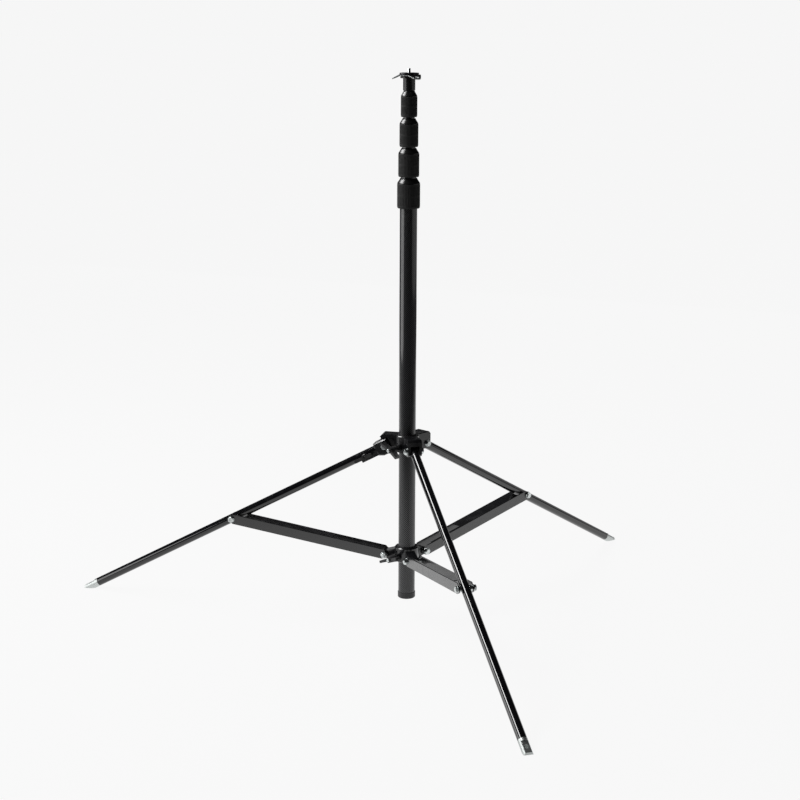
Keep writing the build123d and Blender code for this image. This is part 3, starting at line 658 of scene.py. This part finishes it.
def resample(path: np.ndarray, step: float) -> np.ndarray:
    """Add points along a path's straight runs so that none is longer than a step.

    Args:
        path: rows of x and y.
        step: longest run, in metres.

    Returns:
        The finer path, with its own points kept.
    """
    runs = np.linalg.norm(np.diff(path, axis=0), axis=1)
    travel = np.concatenate([[0.0], np.cumsum(runs)])
    extra = np.arange(0.0, travel[-1], step)
    wanted = np.unique(np.concatenate([travel, extra]))
    return np.stack([np.interp(wanted, travel, path[:, axis]) for axis in (0, 1)], axis=-1)


def dress(nodes: Sequence[str], finish: Finish) -> None:
    """Give CAD nodes a finish in place of their plain one.

    Args:
        nodes: the nodes' names.
        finish: what they get.
    """
    for node in nodes:
        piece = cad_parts[node]
        for slot in piece.material_slots:
            slot.material = finish.material()


def settle(
    piece: bpy.types.Object, finish: Finish, body: str, nodes: Sequence[str] = ()
) -> None:
    """Finish a new piece and tie it to the frame.

    Args:
        piece: the new piece.
        finish: its finish.
        body: the body it rides on.
        nodes: CAD nodes it stands for.
    """
    piece.data.materials.append(finish.material())
    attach(piece, body)
    if nodes:
        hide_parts(*nodes)
    LOG.info("%s rides on %s", piece.name, body)


# ---- Mast -----------------------------------------------------------------
@dataclass
class TwistLock:
    """One twist lock: a ribbed rubber grip on a collar with a cone top."""

    number: int
    ribs: int = 44
    steps_per_rib: int = 8
    rib_depth: float = 0.00055
    rib_fade: float = 0.0008
    rib_ends: Range = (0.002, 0.0025)
    plain_band: float = 0.0016
    grip_wall: float = 0.0018
    grip_bevel: Range = (0.0012, 0.0035)
    grip_step: float = 0.0009
    collar_bore_gap: float = 0.0003
    lip_wall: float = 0.0019
    lip_flare: float = 0.0006
    lip_height: float = 0.0022
    shoulder_height: float = 0.0022
    step_under_grip: float = 0.0014
    skirt_wall: float = 0.0016
    shoulder_wall: float = 0.002
    collar_spokes: int = 128

    def grip_relief(self, bottom: float, top: float) -> Callable[..., np.ndarray]:
        """Rounded ribs up the grip that fade out at both ends and at a middle band.

        The relief is minus the rib depth times a cosine round the grip that is cut off at
        0 and 1, times a window that is 1 on the ribbed bands and falls to 0 at their ends.

        Args:
            bottom: height where the ribs start.
            top: height where they end.

        Returns:
            The relief as a function of angle and height.
        """
        middle = (bottom + top) / 2

        def relief(angle: np.ndarray, height: np.ndarray) -> np.ndarray:
            """Depth at an angle and height."""
            from_end = np.minimum(height - bottom, top - height)
            from_band = np.abs(height - middle) - self.plain_band
            ends = np.clip(from_end / self.rib_fade, 0.0, 1.0)
            band = np.clip(from_band / self.rib_fade, 0.0, 1.0)
            groove = np.clip(0.5 + 0.9 * np.cos(angle * self.ribs), 0.0, 1.0)
            return -self.rib_depth * groove * ends * band

        return relief

    def build(self) -> None:
        """Make the grip and the collar in the places of their CAD nodes."""
        node = f"lock_grip_{self.number}"
        low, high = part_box(node)
        outer = high.x
        inner = outer - self.grip_wall
        inset, bevel = self.grip_bevel
        profile = rounded(
            [
                (inner, low.z, 0.0),
                (outer - inset, low.z, 0.0004),
                (outer, low.z + bevel, 0.0010),
                (outer, high.z, 0.0006),
                (inner, high.z, 0.0),
            ]
        )
        profile = resample(profile, self.grip_step)
        after, before = self.rib_ends
        relief = self.grip_relief(low.z + bevel + after, high.z - before)
        spokes = self.ribs * self.steps_per_rib
        grip = lathe(f"grip_{self.number}", profile, spokes, Wrap.TORUS, relief)
        settle(grip, RUBBER, f"lock_{self.number}", [node])
        self.build_collar(high.z)

    def build_collar(self, shoulder: float) -> None:
        """Make the collar: a smooth shoulder, a shallow cone and a rolled lip at the tube.

        Args:
            shoulder: height where the grip ends.
        """
        node = f"lock_collar_{self.number}"
        low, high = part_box(node)
        widest = high.x
        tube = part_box(f"tube_{self.number + 1}")[1].x
        bore = tube + self.collar_bore_gap
        neck = tube + self.lip_wall
        under_grip = widest - self.step_under_grip
        inside = under_grip - self.skirt_wall
        ledge = shoulder - self.shoulder_wall
        cone_start = shoulder + self.shoulder_height
        cone_end = high.z - self.lip_height
        profile = rounded(
            [
                (inside, low.z, 0.0),
                (under_grip, low.z, 0.0),
                (under_grip, shoulder, 0.0),
                (widest, shoulder, 0.0002),
                (widest, cone_start, 0.0012),
                (neck + self.lip_flare, cone_end, 0.0016),
                (neck, high.z, 0.0009),
                (bore, high.z, 0.0004),
                (bore, ledge, 0.0),
                (inside, ledge, 0.0),
            ]
        )
        collar = lathe(f"collar_{self.number}", profile, self.collar_spokes, Wrap.TORUS)
        settle(collar, COLLAR_GLOSS, f"lock_{self.number}", [node])


@dataclass
class MastHead:
    """Threaded stud on top of the mast, and the finishes of what it stands on."""

    pitch: float = 0.00127
    steps_per_pitch: int = 8
    spokes: int = 48
    thread_depth: float = 0.0006
    shank: float = 0.0026
    core: float = 0.0004
    tip: float = 0.0007
    relief: float = 0.0005
    tiny: float = 1e-6

    def build(self) -> None:
        """Make the stud in the place of its CAD node and dress the pieces round it.

        The thread's relief is a triangle wave of the height less the angle's share of a
        pitch, so its crest climbs one pitch a turn, and it fades out at the tip.
        """
        low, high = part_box("top_stud")
        radius = high.x
        tip_start = high.z - self.tip
        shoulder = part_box("top_plate")[1].z + self.relief
        profile = np.array(
            [
                (self.core, low.z),
                (self.shank, low.z),
                (self.shank, shoulder),
                (radius, shoulder),
                (radius, tip_start),
                (radius - self.tip, high.z),
            ]
        )
        profile = resample(profile, self.pitch / self.steps_per_pitch)

        def thread(angle: np.ndarray, height: np.ndarray) -> np.ndarray:
            """Depth of the thread at an angle and height."""
            phase = (height / self.pitch - angle / TAU) % 1.0
            inside = np.clip((tip_start - height) / self.pitch, 0.0, 1.0)
            outer = (height > shoulder + self.tiny) * inside
            return -self.thread_depth * np.abs(2.0 * phase - 1.0) * outer

        stud = lathe("stud", profile, self.spokes, Wrap.TUBE, thread)
        settle(stud, PLATED, "section_5", ["top_stud"])
        dress(["top_cap"], COLLAR_GLOSS)
        dress(["top_plate"], ANODISED)
        dress(["guy_ring"], PLATED)


@dataclass
class Mast:
    """Five carbon tubes, their hidden guides and the lower end cap."""

    sections: int = 5

    def build(self) -> None:
        """Dress the tubes and what is on them."""
        dress([f"tube_{number + 1}" for number in range(self.sections)], CARBON)
        dress([f"tube_guide_{number + 2}" for number in range(self.sections - 1)], NYLON)
        dress([f"lock_collet_{number}" for number in LOCKS], NYLON)
        dress([f"lock_base_{number}" for number in LOCKS], ANODISED)
        dress(["mast_end_cap"], PLASTIC)
        for number in LOCKS:
            TwistLock(number).build()
        MastHead().build()


# ---- Tripod ---------------------------------------------------------------
@dataclass
class Hub:
    """A hub casting with its liner, clamp screw and wing knob."""

    name: str

    def build(self) -> None:
        """Dress the casting and the pieces on it."""
        dress([f"{self.name}_hub"], CAST_PAINT)
        dress([f"{self.name}_liner"], NYLON)
        dress([f"{self.name}_clamp_screw"], PLATED)
        dress([f"{self.name}_wing_knob"], PLASTIC)


@dataclass
class Leg:
    """One leg with its head, foot, strut and bolts."""

    name: str

    def build(self) -> None:
        """Dress the leg's pieces."""
        if self.name != LEVEL_LEG:
            dress([f"leg_head_{self.name}"], CAST_PAINT)
        dress([f"leg_tube_{self.name}"], GLOSS_PAINT)
        dress([f"foot_{self.name}"], CASTING)
        dress([f"strut_{self.name}"], SATIN_PAINT)
        dress([f"strut_bolt_{self.name}", f"strut_pivot_studs_{self.name}"], PLATED)


@dataclass
class LevellingClamp:
    """Clamp block and wing screw on the left leg, and the legs' pivot bolts."""

    def build(self) -> None:
        """Dress the pieces."""
        dress(["level_block"], CAST_PAINT)
        dress(["level_screw"], PLASTIC)
        dress(["leg_pivot_bolts"], PLATED)


# ---- Studio ---------------------------------------------------------------
@dataclass(frozen=True)
class SoftBox:
    """A rectangular light that faces a point on the mast's axis.

    Its place is a bearing and an elevation in degrees and a distance from that point, whose
    height is aim. Lengths are in metres, and radiance is how bright the light looks.
    """

    name: str
    azimuth: float
    elevation: float
    distance: float
    width: float
    height: float
    radiance: float
    aim: float = 0.7


SOFT_BOXES = (
    SoftBox("left_box", 168.0, 0.0, 3.0, 2.7, 1.5, 2.4, aim=0.6),
    SoftBox("back_wall", 52.0, 0.0, 4.5, 7.6, 1.3, 0.34, aim=0.65),
    SoftBox("right_wall", -24.0, 0.0, 4.5, 5.2, 1.5, 0.5, aim=0.7),
    SoftBox("key", 147.0, 43.0, 2.6, 2.8, 0.8, 13.5, aim=0.9),
)


@dataclass
class Studio:
    """Pale seamless floor, soft lights and the camera."""

    heading: float = math.radians(-16.792)
    tilt: float = math.radians(-13.188)
    roll: float = math.radians(0.26)
    distance: float = 3.9636
    sideways: float = -0.0150
    height: float = 1.4589
    focal_length: float = 77.845
    sensor: float = 36.0
    clip_end: float = 200.0
    shift: Range = (-0.0014, 0.0013)
    backdrop: float = 0.922
    floor_half: float = 60.0
    floor_colour: Colour = (0.03, 0.03, 0.03)
    floor_light: Range = (0.85, 0.01)
    floor_centre: Scale = (0.35, 1.1, 0.0)
    floor_reach: Range = (1.5, 2.9)
    room_light: Colour = (0.012, 0.012, 0.013)

    def camera(self) -> None:
        """Put the camera in front of the stand, a little to the left of its front leg."""
        data = bpy.data.cameras.new("camera")
        data.lens = self.focal_length
        data.sensor_width = self.sensor
        data.clip_end = self.clip_end
        camera = bpy.data.objects.new("camera", data)
        spot = Vector((self.sideways, -self.distance, self.height))
        turn = Matrix.Rotation(self.heading, 4, "Z")
        look = turn @ Matrix.Rotation(math.pi / 2 + self.tilt, 4, "X")
        look = look @ Matrix.Rotation(self.roll, 4, "Z")
        data.shift_x, data.shift_y = self.shift
        camera.matrix_world = Matrix.Translation(turn @ spot) @ look
        bpy.context.scene.collection.objects.link(camera)
        bpy.context.scene.camera = camera

    def seen_or_lit(self, tree: bpy.types.NodeTree, lit: Any) -> bpy.types.NodeSocket:
        """Colour that is the backdrop's to the camera and another one to every other ray.

        Args:
            tree: the node tree it is made in.
            lit: what lights and reflections meet, as a colour or a socket.

        Returns:
            The colour socket.
        """
        seen = tree.nodes.new("ShaderNodeLightPath").outputs["Is Camera Ray"]
        mix = tree.nodes.new("ShaderNodeMix")
        mix.data_type = "RGBA"
        tree.links.new(seen, mix.inputs[0])
        if isinstance(lit, bpy.types.NodeSocket):
            tree.links.new(lit, mix.inputs[6])
        else:
            mix.inputs[6].default_value = (*lit, 1.0)
        mix.inputs[7].default_value = (self.backdrop, self.backdrop, self.backdrop, 1.0)
        return mix.outputs[2]

    def floor(self) -> None:
        """Lay a wide floor that the camera sees as the backdrop, so that it has no edge.

        Its glow on the stand fades out with distance from a spot near the feet.
        """
        half = self.floor_half
        mesh = bpy.data.meshes.new("floor")
        corners = [(-half, -half, 0.0), (half, -half, 0.0), (half, half, 0.0), (-half, half, 0.0)]
        mesh.from_pydata(corners, [], [(0, 1, 2, 3)])
        ground = bpy.data.objects.new("floor", mesh)
        bpy.context.scene.collection.objects.link(ground)
        shader = Shader(
            "floor_paper",
            Base_Color=(*self.floor_colour, 1.0),
            Roughness=1.0,
            Specular_IOR_Level=0.0,
            Emission_Strength=1.0,
        )
        vector = shader.place()[0]
        gap = shader.node(
            "VectorMath", {"operation": "DISTANCE"}, {0: vector, 1: self.floor_centre}
        )
        distance = Signal(shader, gap.outputs["Value"])
        glow = shader.span(distance, self.floor_reach, self.floor_light)
        shader.drive("Emission Color", self.seen_or_lit(shader.tree, glow.socket))
        mesh.materials.append(shader.material)

    def panel(self, box: SoftBox) -> None:
        """Hang one soft box, unseen by the camera.

        Args:
            box: where it hangs, its size and how bright it looks.
        """
        data = bpy.data.lights.new(box.name, "AREA")
        data.shape = "RECTANGLE"
        data.size, data.size_y = box.width, box.height
        data.energy = box.radiance * math.pi * box.width * box.height
        lamp = bpy.data.objects.new(box.name, data)
        bearing = math.radians(box.azimuth)
        lean = math.radians(box.elevation)
        level = math.cos(lean)
        away = Vector((math.cos(bearing) * level, math.sin(bearing) * level, math.sin(lean)))
        centre = Vector((0.0, 0.0, box.aim)) + away * box.distance
        turn = (-away).to_track_quat("-Z", "Y").to_matrix().to_4x4()
        lamp.matrix_world = Matrix.Translation(centre) @ turn
        lamp.visible_camera = False
        bpy.context.scene.collection.objects.link(lamp)

    def world(self) -> None:
        """Show the camera the backdrop's white, and reflections a dark room."""
        world = bpy.data.worlds.new("studio")
        bpy.context.scene.world = world
        world.use_nodes = True
        background = world.node_tree.nodes["Background"]
        colour = self.seen_or_lit(world.node_tree, self.room_light)
        world.node_tree.links.new(colour, background.inputs["Color"])

    def build(self) -> None:
        """Set up the floor, the world, the lights and the camera."""
        bpy.context.scene.view_settings.view_transform = "Standard"
        self.floor()
        self.world()
        for box in SOFT_BOXES:
            self.panel(box)
        self.camera()


def main() -> None:
    """Dress the stand and set up the studio."""
    logging.basicConfig(level=logging.INFO, format="%(name)s: %(message)s")
    Mast().build()
    for name in ("upper", "lower"):
        Hub(name).build()
    for name in LEGS:
        Leg(name).build()
    LevellingClamp().build()
    Studio().build()


if __name__ == "__main__":
    main()
